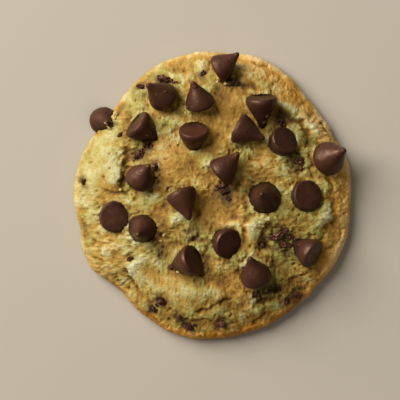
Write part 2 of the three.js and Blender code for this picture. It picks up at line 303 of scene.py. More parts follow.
class CookieSettings(bpy.types.PropertyGroup):
    """Sizes and colours of the cookie; numbered colours run from the deepest places to the highest."""

    crust_rows: IntProperty(
        name="Crust rows", description="Faces along each side of the crust's grid", default=270, min=20
    )
    pocket_margin: FloatProperty(
        name="Pocket margin", description="Gap round a chip's CAD shape, in mm", default=0.24, min=0
    )
    # How far from the dough a chip's foot is darkened, as painted contact shade and as melted chocolate.
    melt_and_shade_reach: FloatProperty(
        name="Melt reach", description="How far above the dough a chip melted, in mm", default=4, min=0.1
    )
    camera_height: FloatProperty(
        name="Camera height", description="Camera above the floor, in mm", default=550, min=50
    )
    window_power: FloatProperty(
        name="Window power", description="Power of the large soft light", default=38.2, unit="POWER"
    )
    # Each crust ramp runs with tone from low to high; as tone partly follows the relief, the dark steps
    # also paint shade in creases and the light steps paint light on raised places.
    pale_1: colour("Pale crust 1", "Crust that stayed pale: deepest creases", "#473A10")
    pale_2: colour("Pale crust 2", "Crust that stayed pale: low places", "#7B6D2D")
    pale_3: colour("Pale crust 3", "Crust that stayed pale: even places", "#A29652")
    pale_4: colour("Pale crust 4", "Crust that stayed pale: high places", "#BAB184")
    pale_5: colour("Pale crust 5", "Crust that stayed pale: dry tops", "#CAC4A0")
    gold_1: colour("Gold crust 1", "Toasted crust: deepest creases", "#46310B")
    gold_2: colour("Gold crust 2", "Toasted crust: low places", "#7F5D1E")
    gold_3: colour("Gold crust 3", "Toasted crust: even places", "#AA8439")
    gold_4: colour("Gold crust 4", "Toasted crust: high places", "#C6A565")
    gold_5: colour("Gold crust 5", "Toasted crust: dry tops", "#D8BF94")
    rim_1: colour("Rim 1", "Browned rim: deepest creases", "#78440C")
    rim_2: colour("Rim 2", "Browned rim: low places", "#AE6C1C")
    rim_3: colour("Rim 3", "Browned rim: even places", "#D29235")
    rim_4: colour("Rim 4", "Browned rim: high places", "#E8B45E")
    rim_5: colour("Rim 5", "Browned rim: dry tops", "#EFCB8C")
    pit_colour: colour("Pits", "Pinprick pits in the crust", "#5E4516")
    # Painted shade down in cracks and hollows.
    hollow_shade_colour: colour("Hollows", "Dough down in a crack or hollow", "#5E4215")
    # Real smudges of melted chocolate, and painted contact shade round the chips.
    melt_stain_and_contact_shade_colour: colour("Stain", "Dough that chocolate melted into", "#4A3A26")
    chocolate_1: colour("Chocolate 1", "Darkest chocolate", "#34211A")
    chocolate_2: colour("Chocolate 2", "Dark chocolate", "#3F281E")
    chocolate_3: colour("Chocolate 3", "Lighter chocolate", "#4E3125")
    chocolate_4: colour("Chocolate 4", "Lightest chocolate", "#61402E")
    # Darkens a chip's foot where it meets the dough: painted contact shade, and melted chocolate.
    melt_and_contact_shade_colour: colour("Melted chocolate", "Chocolate that melted against the dough", "#20140F")
    floor_colour: colour("Floor", "The pale floor", "#A79E91")


# ---- soft random patterns over the crust ----

TILE = 128  # places in each row of random numbers before they repeat


def ease(t):
    """A rise from 0 to 1 that starts and ends level."""
    return t * t * t * (t * (t * 6 - 15) + 10)


def ripple(x, y, size, seed):
    """A smooth random height, about -0.7 to 0.7, that changes over `size` millimetres."""
    angle = np.random.default_rng(seed).uniform(0, 2 * math.pi, (TILE, TILE))
    u, v = x / size, y / size
    i, j = np.floor(u).astype(int), np.floor(v).astype(int)
    f, g = u - i, v - j

    def corner(di, dj):
        turn = angle[(i + di) % TILE, (j + dj) % TILE]
        return np.cos(turn) * (f - di) + np.sin(turn) * (g - dj)

    low = corner(0, 0) * (1 - ease(f)) + corner(1, 0) * ease(f)
    high = corner(0, 1) * (1 - ease(f)) + corner(1, 1) * ease(f)
    return low * (1 - ease(g)) + high * ease(g)


def waves(name, x, y):
    """A named pattern: ripples on each other, each half as wide as the last."""
    size, seed, count, fall = WAVES[name]
    return sum(fall**k * ripple(x, y, size / 2**k, seed + k) for k in range(count))


def lumps(name, x, y):
    """Distance to the nearest and next nearest of scattered points, and the nearest one's own number."""
    size, seed = LUMPS[name]
    rng = np.random.default_rng(seed)
    jitter_u, jitter_v, own = rng.random((3, TILE, TILE))
    u, v = x / size, y / size
    i, j = np.floor(u).astype(int), np.floor(v).astype(int)
    far = 9.0
    first = np.full(x.shape, far)
    second = np.full(x.shape, far)
    number = np.zeros(x.shape)
    for di in (-1, 0, 1):
        for dj in (-1, 0, 1):
            a, b = (i + di) % TILE, (j + dj) % TILE
            away = np.hypot(i + di + jitter_u[a, b] - u, j + dj + jitter_v[a, b] - v)
            nearer = away < first
            second = np.where(nearer, first, np.minimum(second, away))
            number = np.where(nearer, own[a, b], number)
            first = np.where(nearer, away, first)
    return first, second, number


def step(low, high, value):
    """0 below low, 1 above high, and a smooth rise between."""
    t = np.clip((value - low) / (high - low), 0, 1)
    return t * t * (3 - 2 * t)


def side(name, bearing):
    """How much each place belongs to a named side of the cookie, 0 to 1."""
    facing, low, high = SIDES[name]
    return step(low, high, np.cos(bearing - facing))


def near(away, reach):
    """1 where the distance is 0, falling to nothing past about twice the reach."""
    return np.exp(-((away / reach) ** 2))


def along_line(x, y, points):
    """Distance to a line of points, how far along it that is, and on which hand (1 left, -1 right)."""
    best = np.full(x.shape, 1e3)
    place = np.zeros(x.shape)
    hand = np.zeros(x.shape)
    spans = len(points) - 1
    for k in range(spans):
        (ax, ay), (bx, by) = points[k], points[k + 1]
        dx, dy = bx - ax, by - ay
        t = np.clip(((x - ax) * dx + (y - ay) * dy) / (dx * dx + dy * dy), 0, 1)
        away = np.hypot(x - ax - t * dx, y - ay - t * dy)
        place = np.where(away < best, (k + t) / spans, place)
        hand = np.where(away < best, np.sign(dx * (y - ay) - dy * (x - ax)), hand)
        best = np.minimum(best, away)
    return best, place, hand


def blurred(field, rounds):
    """The field averaged with its four neighbours, again and again."""
    for _ in range(rounds):
        edge = np.pad(field, 1, mode="edge")
        field = (edge[:-2, 1:-1] + edge[2:, 1:-1] + edge[1:-1, :-2] + edge[1:-1, 2:]) / 4
    return field


# ---- small helpers ----

def deselect():
    """Leaves edit mode and deselects everything."""
    if bpy.context.object and bpy.context.object.mode != "OBJECT":
        bpy.ops.object.mode_set(mode="OBJECT")
    bpy.ops.object.select_all(action="DESELECT")


def pick(piece):
    """Makes the piece the only one selected, and active."""
    deselect()
    piece.select_set(True)
    bpy.context.view_layer.objects.active = piece


def apply_modifier(piece, kind, **settings):
    """Adds a modifier with its settings to the piece and applies it."""
    pick(piece)
    modifier = piece.modifiers.new(kind.lower(), kind)
    for key, value in settings.items():
        setattr(modifier, key, value)
    bpy.ops.object.modifier_apply(modifier=modifier.name)


def roughen(piece, name, width, height, middle, noise="SOFT_NOISE"):
    """Pushes the surface out and in by clouds of the given width and height."""
    texture = bpy.data.textures.get(name) or bpy.data.textures.new(name, "CLOUDS")
    texture.noise_scale = width * MM
    texture.noise_type = noise
    apply_modifier(
        piece, "DISPLACE", texture=texture, texture_coords="LOCAL", strength=height * MM, mid_level=middle
    )


def add_field(mesh, name, values):
    """Stores one number for each of the mesh's points."""
    layer = mesh.attributes.new(name, "FLOAT", "POINT")
    layer.data.foreach_set("value", np.asarray(values, np.float32))


def cad_copy(node, name):
    """A copy of a CAD node with its loose triangles merged, ready to be refined."""
    piece = frame["nodes"][node].copy()
    piece.data = piece.data.copy()
    piece.name = name
    piece.data.name = name
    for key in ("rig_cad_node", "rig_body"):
        if key in piece:
            del piece[key]
    piece.parent = None
    piece.hide_viewport = False
    piece.hide_render = False
    bpy.context.scene.collection.objects.link(piece)
    pick(piece)
    bpy.ops.object.mode_set(mode="EDIT")
    bpy.ops.mesh.select_all(action="SELECT")
    bpy.ops.mesh.remove_doubles(threshold=0.001 * MM)
    bpy.ops.mesh.tris_convert_to_quads()
    bpy.ops.mesh.select_all(action="DESELECT")
    bpy.ops.object.mode_set(mode="OBJECT")
    return piece


def surface_tree(nodes):
    """One search tree over several CAD nodes, in millimetres."""
    points, faces = [], []
    for node in nodes:
        data = frame["nodes"][node].data
        start = len(points)
        points += [v.co / MM for v in data.vertices]
        faces += [[start + i for i in p.vertices] for p in data.polygons]
    return BVHTree.FromPolygons(points, faces)


# ---- the crust ----

def disc_places(count):
    """Bearing and share of the radius of a square grid of places pressed into a disc."""
    a, b = np.meshgrid(np.linspace(-1, 1, count + 1), np.linspace(-1, 1, count + 1))
    wide = np.abs(a) > np.abs(b)
    safe_a = np.where(a == 0, 1e-9, a)
    safe_b = np.where(b == 0, 1e-9, b)
    radius = np.where(wide, a, b)
    turn = np.where(wide, math.pi / 4 * b / safe_a, math.pi / 2 - math.pi / 4 * a / safe_b)
    bearing = np.where(radius < 0, turn + math.pi, turn)
    return bearing, np.abs(radius)


def rim_radii(dough, chocolate, bearings):
    """Radius of the rim at each bearing, carried smoothly past any pocket that breaks it."""
    steps = 360
    outside = 80
    smoothing = 6
    found, angles = [], []
    for k in range(steps):
        turn = 2 * math.pi * k / steps
        out = Vector((math.cos(turn), math.sin(turn), 0))
        hit = dough.ray_cast(out * outside + Vector((0, 0, WIDEST_HEIGHT)), -out)[0]
        if chocolate.find_nearest(hit)[3] > 0.6:
            found.append(Vector((hit.x, hit.y)).length)
            angles.append(turn)
    round_trip = np.linspace(0, 2 * math.pi, steps, endpoint=False)
    radii = np.interp(round_trip, angles, found, period=2 * math.pi)
    for _ in range(smoothing):
        radii = (np.roll(radii, 1) + 2 * radii + np.roll(radii, -1)) / 4
    return np.interp(bearings % (2 * math.pi), round_trip, radii, period=2 * math.pi)


def crust_shape(dough, chocolate, count):
    """The smooth crust as a grid of places, with each one's share of the radius, roll, bearing and row."""
    bearing, row = disc_places(count)
    radius = rim_radii(dough, chocolate, bearing)
    share = np.minimum(row / CRUST_ROWS, 1)
    rolled = np.clip((row - CRUST_ROWS) / (1 - CRUST_ROWS), 0, 1)
    reach = np.where(rolled > 0, FOOT_SHARE + (1 - FOOT_SHARE) * np.cos(rolled * math.pi / 2), share)
    probe = np.minimum(share, LAST_PROBE) * radius
    z = heights_below(probe * np.cos(bearing), probe * np.sin(bearing), dough, chocolate)
    z = blurred(filled(z), 14)
    past = np.clip((share - LAST_PROBE) / (1 - LAST_PROBE), 0, 1)
    z = WIDEST_HEIGHT + (z - WIDEST_HEIGHT) * (1 - past) ** SHOULDER_CURVE
    z = np.where(rolled > 0, WIDEST_HEIGHT * (1 - np.sin(rolled * math.pi / 2)), z)
    spot = np.stack([reach * radius * np.cos(bearing), reach * radius * np.sin(bearing), z], -1)
    return spot, share, rolled, bearing, row, radius


def heights_below(x, y, dough, chocolate):
    """Height of the plain dough below each place, and no number over a pocket."""
    z = np.full(x.shape, np.nan)
    for index in np.ndindex(x.shape):
        hit = dough.ray_cast(Vector((x[index], y[index], PROBE_START)), DOWN)[0]
        if chocolate.find_nearest(hit)[3] > CLEAR_OF_POCKET:
            z[index] = hit.z
    return z


def filled(level):
    """Spans every gap in a grid of heights as smoothly as a stretched skin."""
    rounds = 900
    gap = np.isnan(level)
    height = np.where(gap, np.nanmean(level), level)
    for _ in range(rounds):
        height = np.where(gap, blurred(height, 1), height)
    return height


def distance_to(tree, spot, reach=6.0):
    """Distance in millimetres from each place to the nearest of the tree's pieces, up to `reach`."""
    away = np.full(spot.shape[:2], reach)
    for index in np.ndindex(away.shape):
        found = tree.find_nearest(Vector(spot[index]), reach)
        if found[0] is not None:
            away[index] = found[3]
    return away


def smoothness(x, y):
    """How smooth the crust baked: 1 in the middle of a smooth spot, 0 away from all of them."""
    spots = sum(near(np.hypot(x - cx, y - cy), reach) for cx, cy, reach in SMOOTH_SPOTS)
    return np.clip(1.3 * spots, 0, 1)


def stand(name, crumbly):
    """Height of what stands on the crust, higher where the crust is crumbly."""
    firm, more = STANDS[name]
    return firm + more * crumbly


def crust_relief(x, y, share, radius, bearing, swell):
    """Height of everything baked into the crust on top of its smooth shape, and how crumbly it is."""
    wx = x + 1.5 * waves("sway_x", x, y) + 0.4 * waves("fray_x", x, y)
    wy = y + 1.5 * waves("sway_y", x, y) + 0.4 * waves("fray_y", x, y)

    # Calm falls from 1 to nearly 0 where the crust runs out into the smooth rim.
    smooth_edge = side("smooth_edge", bearing)
    still = 0.7 + 0.25 * smooth_edge
    calm = 1 - still * step(0.955, 0.995, share + 0.04 * smooth_edge + 0.02 * waves("calm_edge", x, y))
    crumbly = step(0.3, -0.3, swell + 0.6 * waves("crumbly", x, y))
    rough = 1 - 0.9 * smoothness(x, y)
    half_rough = 0.5 + 0.5 * rough
    half_calm = 0.4 + 0.6 * calm

    # Knobs with seams between some of them, crumbs between the knobs and sand over all.
    knob, next_knob, knob_size = lumps("knobs", wx, wy)
    knobs = step(0.95, 0.1, knob) * (0.35 + 0.65 * knob_size)
    seams = near(next_knob - knob, 0.12) * step(-0.1, 0.35, waves("seams", x, y))
    crumb, _, crumb_size = lumps("crumbs", wx, wy)
    crumbs = step(0.95, 0.1, crumb) * (0.1 + 0.5 * crumb_size)
    sand, _, sand_size = lumps("sand", x + 0.5 * waves("sand_x", x, y), y + 0.5 * waves("sand_y", x, y))
    sandy = step(0.9, 0.1, sand) * sand_size
    relief = SWELL_HEIGHT * waves("swellings", x, y)
    relief += calm * rough * stand("knobs", crumbly) * knobs
    relief -= calm * rough * SEAM_DEPTH * seams
    relief += calm * rough * stand("crumbs", crumbly) * crumbs
    relief += calm * stand("sand", crumbly) * sandy

    # Grit and grain finer than the crumbs, faint waves, and folds that run along the rim.
    relief += calm * (0.3 + 0.7 * rough) * stand("grit", crumbly) * waves("grit", x, y)
    relief += SOFT_HEIGHT * waves("soft", x, y)
    relief += half_rough * half_calm * stand("grain", crumbly) * waves("grain", x, y)
    along_rim = bearing * RIM_RADIUS / WAVES["folds"][0]
    folded = step(0.62, 0.8, share) * step(0.99, 0.93, share) * side("folded", bearing)
    relief += folded * FOLD_HEIGHT * waves("folds", along_rim, share * radius)
    pore, _, pore_luck = lumps("pores", wx, wy)
    relief -= calm * PORE_DEPTH * near(pore, 0.13) * (pore_luck < PORE_SHARE)
    return relief, crumbly


def hand_cracks(x, y):
    """The long cracks and creases: ragged, broken along their course, one side standing higher."""
    wx = x + 1.1 * waves("crack_x", x, y)
    wy = y + 1.1 * waves("crack_y", x, y)
    open_here = step(-0.35, 0.3, waves("crack_open", x, y))
    height = np.zeros(x.shape)
    for points, width, depth, ledge in CRACKS:
        away, place, hand = along_line(wx, wy, points)
        ends = step(0, 0.2, place) * step(0, 0.2, 1 - place)
        width_here = width * (0.5 + 0.8 * ends * open_here)
        height -= depth * ends * (0.2 + 0.6 * open_here) * near(away, width_here)
        height -= 0.3 * depth * ends * near(away, 2.5 * width_here)
        height += 0.5 * ledge * ends * np.tanh(hand * away / width_here) * np.exp(-away / 2.5)
    return height


def hand_ridges(x, y):
    """The smooth ridges' height, and how much paler the crust is along them."""
    wx = x + 0.8 * waves("ridge_x", x, y)
    wy = y + 0.8 * waves("ridge_y", x, y)
    height = np.zeros(x.shape)
    pale = np.zeros(x.shape)
    for points, width, rise, paler in RIDGES:
        away, place, _ = along_line(wx, wy, points)
        top = step(-0.2, 0.25, place) * step(-0.2, 0.25, 1 - place) * near(away, width)
        height += rise * top
        pale += paler * top
    return height, pale


def bake_patches(x, y):
    """How much paler, or darker as painted shade, the patches make each place, and how much more toasted.
    """
    pale = np.zeros(x.shape)
    toast = np.zeros(x.shape)
    for cx, cy, reach, paler, more in PATCHES:
        here = near(np.hypot(x - cx, y - cy), reach)
        pale += paler * here
        toast += more * here
    return pale, toast


def bake_fields(x, y, share, bearing, relief, crumbly, ridge_pale, chip_away, bit_away):
    """What colours the crust: tone, toast, browned rim, painted hollow shade, and stain with painted
    contact shade.
    """
    # drop is how far a place lies below the blurred relief, for painted shade in hollows; rise and
    # fine_rise how far it stands above, for painted light on raised places.
    drop = blurred(relief, 14) - relief
    rise = np.clip((blurred(relief, 5) - blurred(relief, 90)) / 0.4, -1.5, 1.5)
    fine_rise = np.clip((blurred(relief, 2) - blurred(relief, 20)) / 0.25, -1.5, 1.5)
    browned = side("most_browned", bearing)
    unbrowned = side("least_browned", bearing)
    rim = step(0, 0.045, share + 0.035 * waves("rim_edge", x, y) - 0.952 + 0.022 * browned)
    golden_slope_painted_light = step(0.78, 0.93, share) * side("golden_slope_painted_light", bearing)
    amber_slope = step(0.84, 0.97, share) * side("amber_slope", bearing)
    patch_pale_and_shade, patch_toast = bake_patches(x, y)
    blotchy = 1 - 0.55 * smoothness(x, y)

    # Tone picks a colour from dark creases (0) to the lightest tops (1); through rise and fine_rise it
    # paints raised places lighter and low ones darker, as light and shade.
    tone = 0.42 + 0.8 * patch_pale_and_shade + ridge_pale
    tone += 0.2 * blotchy * (waves("wide_tone", x, y) + waves("small_tone", x, y))
    tone += 0.1 * waves("fleck_tone", x, y) + 0.12 * rise + 0.08 * fine_rise
    # The rim's right and upper right edges and the golden slope are painted lighter, as light falling
    # there.
    tone += rim * (0.1 + 0.16 * side("right_edge_painted_light", bearing) + 0.2 * side("upper_right_edge_painted_light", bearing))
    tone += 0.14 * rim * unbrowned + 0.16 * golden_slope_painted_light

    # Toast turns it from cream (0) to gold (1); a patch that is less toasted counts for less.
    toast = 0.56 + np.where(patch_toast < 0, 0.65, 1.0) * patch_toast - 0.5 * ridge_pale
    toast += 0.45 * blotchy * (waves("wide_toast", x, y) + waves("small_toast", x, y))
    toast += 0.6 * golden_slope_painted_light - 0.2 * crumbly - 0.3 * rise - 0.25 * fine_rise
    toast += rim * (0.2 + 0.3 * browned - 0.3 * unbrowned)

    amber = np.maximum(rim * (0.15 + 0.8 * browned), 0.4 * amber_slope)
    smear = near(bit_away, 2.0) * step(-0.3, 0.25, waves("smear_blotches", x, y))
    return {
        "tone": np.clip(tone, 0, 1),
        "toast": step(0.05, 0.95, toast),
        "amber": np.clip(amber * (0.85 + 0.5 * waves("amber", x, y)), 0, 1),
        # Painted shade where a place lies below the blurred relief.
        "hollow": np.clip((drop - 0.1) / 0.5, 0, 1),
        # Real smudges of melted chocolate round the broken bits, and painted contact shade round every
        # chip.
        "stain": np.clip(smear + 0.5 * near(chip_away, 0.5), 0, 1),
    }


def build_crust(settings):
    """One closed piece of dough: a fine crust over a coarse flat underside, a pocket for each chip."""
    count = settings.crust_rows
    deselect()
    bpy.ops.mesh.primitive_grid_add(x_subdivisions=count, y_subdivisions=count, size=2)
    dough = bpy.context.object
    dough.name = dough.data.name = CRUST_NAME
    apply_modifier(dough, "SOLIDIFY", thickness=1, offset=-1)

    chips, bits = surface_tree(CHIP_NODES), surface_tree(BIT_NODES)
    spot, share, rolled, bearing, row, radius = crust_shape(
        surface_tree([DOUGH_NODE]), surface_tree(CHIP_NODES + BIT_NODES), count
    )
    x, y, z = spot[..., 0], spot[..., 1], spot[..., 2]
    chip_away, bit_away = distance_to(chips, spot), distance_to(bits, spot)
    relief, crumbly = crust_relief(x, y, share, radius, bearing, z - blurred(z, 300))
    relief -= relief[share < 0.95].mean()
    relief += (-0.3 + 0.8 * waves("bit_collar", x, y)) * near(bit_away, 1.3)
    ridge, ridge_pale = hand_ridges(x, y)
    relief += ridge + hand_cracks(x, y)
    lip = np.clip(0.1 + 1.2 * waves("lip", x, y), -0.2, 0.7)
    relief += lip * near(chip_away, 1.2) * (1 - rolled)
    relief *= 1 - step(0.0, 0.5, rolled)

    normal = np.cross(np.gradient(spot, axis=1), np.gradient(spot, axis=0))
    normal /= np.linalg.norm(normal, axis=-1, keepdims=True)
    top = spot + normal * relief[..., None]
    foot = FOOT_SHARE * row * radius
    bottom = np.stack([foot * np.cos(bearing), foot * np.sin(bearing), np.zeros(row.shape)], -1)
    edge = row >= 1 - 1e-9
    top[edge] = bottom[edge]
    mesh = dough.data
    places = np.concatenate([top.reshape(-1, 3), bottom.reshape(-1, 3)]) * MM
    mesh.vertices.foreach_set("co", places.astype(np.float32).ravel())
    mesh.update()
    fields = bake_fields(x, y, share, bearing, relief, crumbly, ridge_pale, chip_away, bit_away)
    for name, field in fields.items():
        below = np.full(row.size, UNDERSIDE_FIELDS[name])
        add_field(mesh, name, np.concatenate([field.ravel(), below]))
    thin_underside(dough)
    cut_pockets(dough, settings)
    pick(dough)
    bpy.ops.object.shade_smooth_by_angle(angle=math.radians(70))
    return dough


def thin_underside(dough):
    """Closes the seam round the foot and leaves the flat underside only as many faces as it needs."""
    pick(dough)
    bpy.ops.object.mode_set(mode="EDIT")
    bpy.ops.mesh.select_all(action="SELECT")
    bpy.ops.mesh.remove_doubles(threshold=0.005 * MM)
    bpy.ops.mesh.select_all(action="DESELECT")
    bpy.ops.mesh.select_mode(type="FACE")
    bpy.ops.object.mode_set(mode="OBJECT")
    for face in dough.data.polygons:
        face.select = face.center.z < 1e-7
    bpy.ops.object.mode_set(mode="EDIT")
    bpy.ops.mesh.decimate(ratio=0.04)
    bpy.ops.mesh.select_all(action="SELECT")
    bpy.ops.mesh.normals_make_consistent(inside=False)
    bpy.ops.mesh.select_all(action="DESELECT")
    bpy.ops.object.mode_set(mode="OBJECT")


def base_normal(chip):
    """The way a chip's flat base looks: the normal that the most of its surface shares."""
    faces = chip.data.polygons
    normals = np.array([face.normal for face in faces])
    areas = np.array([face.area for face in faces])
    shared = (normals @ normals.T > 0.9999) @ areas
    return Vector(normals[shared.argmax()])


def cut_pockets(dough, settings):
    """Takes out of the dough the room of every piece of chocolate, and what would cover a flush chip."""
    cutters = bpy.data.collections.new("pocket cutters")
    bpy.context.scene.collection.children.link(cutters)
    for node in CHIP_NODES + BIT_NODES:
        cutter = cad_copy(node, "pocket_" + node)
        base = base_normal(cutter)
        apply_modifier(cutter, "SUBSURF", levels=2, render_levels=2)
        margin = settings.pocket_margin if node in CHIP_NODES else BIT_POCKET_MARGIN
        apply_modifier(cutter, "DISPLACE", strength=margin * MM, mid_level=0)
        if node in CHIP_NODES and base.z > FLUSH_LEAN:
            for face in cutter.data.polygons:
                face.select = face.normal.dot(base) > 0.97
            bpy.ops.object.mode_set(mode="EDIT")
            bpy.ops.mesh.extrude_region_move(TRANSFORM_OT_translate={"value": (0, 0, LID_ROOM * MM)})
            bpy.ops.object.mode_set(mode="OBJECT")
        bpy.context.scene.collection.objects.unlink(cutter)
        cutters.objects.link(cutter)
    apply_modifier(dough, "BOOLEAN", solver="MANIFOLD", operand_type="COLLECTION", collection=cutters)
    for cutter in list(cutters.objects):
        bpy.data.meshes.remove(cutter.data)
    bpy.data.collections.remove(cutters)


# ---- the chocolate ----

def crust_tree():
    """A search tree over the finished crust, in metres."""
    mesh = bpy.data.objects[CRUST_NAME].data
    return BVHTree.FromPolygons([v.co for v in mesh.vertices], [p.vertices for p in mesh.polygons])


def build_chip(node, crust, settings):
    """A chip: its CAD shape rounded, with the slight unevenness of moulded chocolate."""
    chip = cad_copy(node, "whole_" + node)
    bpy.ops.object.mode_set(mode="EDIT")
    bpy.ops.mesh.select_mode(type="EDGE")
    bpy.ops.mesh.edges_select_sharp(sharpness=math.radians(50))
    bpy.ops.transform.edge_crease(value=0.8)
    bpy.ops.mesh.select_all(action="DESELECT")
    bpy.ops.object.mode_set(mode="OBJECT")
    apply_modifier(chip, "SUBSURF", levels=3, render_levels=3)
    apply_modifier(chip, "DISPLACE", strength=CHIP_ROUNDING * MM, mid_level=0)
    roughen(chip, "chip unevenness", *CHIP_UNEVENNESS, 0.5)

    # How near each spot is to the hot dough: 1 where they touch, 0 past the reach. It darkens the chip's
    # foot, as painted contact shade and as chocolate melted there.
    reach = settings.melt_and_shade_reach * MM
    away = [crust.find_nearest(v.co)[3] for v in chip.data.vertices]
    add_field(chip.data, "foot", [max(0.0, 1 - distance / reach) for distance in away])
    pick(chip)
    bpy.ops.object.shade_smooth()
    return chip


def build_bit(node):
    """A broken bit: its CAD shape made ragged, as chocolate that snapped and half melted."""
    bit = cad_copy(node, "broken_" + node)
    apply_modifier(bit, "SUBSURF", levels=4, render_levels=4, subdivision_type="SIMPLE")
    apply_modifier(bit, "DISPLACE", strength=BIT_ROUNDING * MM, mid_level=0)
    for width, height in BIT_RAGGEDNESS:
        roughen(bit, "bit unevenness", width, height, 0.42, "HARD_NOISE")
    pick(bit)
    bpy.ops.object.shade_smooth()
    return bit


def build_lumps(name, rows, seed, sunk):
    """One piece of many small ragged lumps, each resting, partly sunk, on whatever lies below its place."""
    bpy.context.view_layer.update()
    graph = bpy.context.evaluated_depsgraph_get()
    rng = np.random.default_rng(seed)
    made = []
    for x, y, length, width, bearing in rows:
        above = Vector((x, y, PROBE_START)) * MM
        hit, point, _, _, _, _ = bpy.context.scene.ray_cast(graph, above, DOWN)
        if not hit:
            raise RuntimeError(f"nothing below the lump at {x}, {y}")
        height = width * rng.uniform(*LUMP_HEIGHT_SHARES)
        lift = (1 - 2 * sunk) * height * MM
        deselect()
        bpy.ops.mesh.primitive_ico_sphere_add(subdivisions=4, radius=MM)
        lump = bpy.context.object
        bpy.ops.object.mode_set(mode="EDIT")
        bpy.ops.transform.resize(value=(length, width, height))
        bpy.ops.transform.rotate(value=-math.radians(bearing), orient_axis="Z", center_override=(0, 0, 0))
        bpy.ops.transform.translate(value=point + Vector((0, 0, lift)))
        bpy.ops.object.mode_set(mode="OBJECT")
        roughen(lump, name + " raggedness", LUMP_RAGGEDNESS, LUMP_RAGGED_SHARE * width, 0.5)
        made.append(lump)
    deselect()
    for lump in made:
        lump.select_set(True)
    bpy.context.view_layer.objects.active = made[0]
    bpy.ops.object.join()
    piece = bpy.context.object
    piece.name = piece.data.name = name
    bpy.ops.object.shade_smooth()
    return piece


# ---- materials ----

MIX_SHARE, MIX_FROM, MIX_TO = 0, 6, 7  # the places of a colour Mix node's inputs

FLECK_SIZE = 1.0  # flecks of paler and darker dough
PIT_SIZE = 0.55  # pinprick pits
GRAIN_SIZE = 0.6  # baked flour and sugar, drawn a little coarser than it is
GRAIN_DEPTH = 0.32
BATCH_SIZE = 14  # slow change of colour from chip to chip
MELT_AND_SHADE_PATCH_SIZE = 2.5  # patches of the darkened foot: painted contact shade and melted chocolate
SCUFF_SIZE = 1.5  # scuffs on the moulded skin
SCUFF_DEPTH = 0.12
BEAD_SIZE = 2.2  # spacing of small beads and nicks that catch the light
BEAD_DEPTH = 0.2
CHOCOLATE_SHEEN = (1.0, 0.7, 0.5, 1)  # cocoa butter warms what the skin reflects


def add_node(tree, kind, links=None, values=None, **settings):
    """A shader node with its settings, links into its inputs and values of its other inputs."""
    node = tree.nodes.new(kind)
    for key, value in settings.items():
        setattr(node, key, value)
    for key, value in (values or {}).items():
        node.inputs[key].default_value = value
    for key, source in (links or {}).items():
        tree.links.new(source, node.inputs[key])
    return node


def set_stops(ramp, settings, kind, count):
    """Spreads the numbered colours of one kind evenly along a colour ramp."""
    stops = ramp.color_ramp.elements
    while len(stops) < count:
        stops.new(0.5)
    for k in range(count):
        stops[k].position = k / (count - 1)
        stops[k].color = getattr(settings, f"{kind}_{k + 1}")


def new_material(name):
    """An empty material, its node tree and its shader."""
    material = bpy.data.materials.new(name)
    material.use_nodes = True
    tree = material.node_tree
    shader = tree.nodes["Principled BSDF"]
    return material, tree, shader


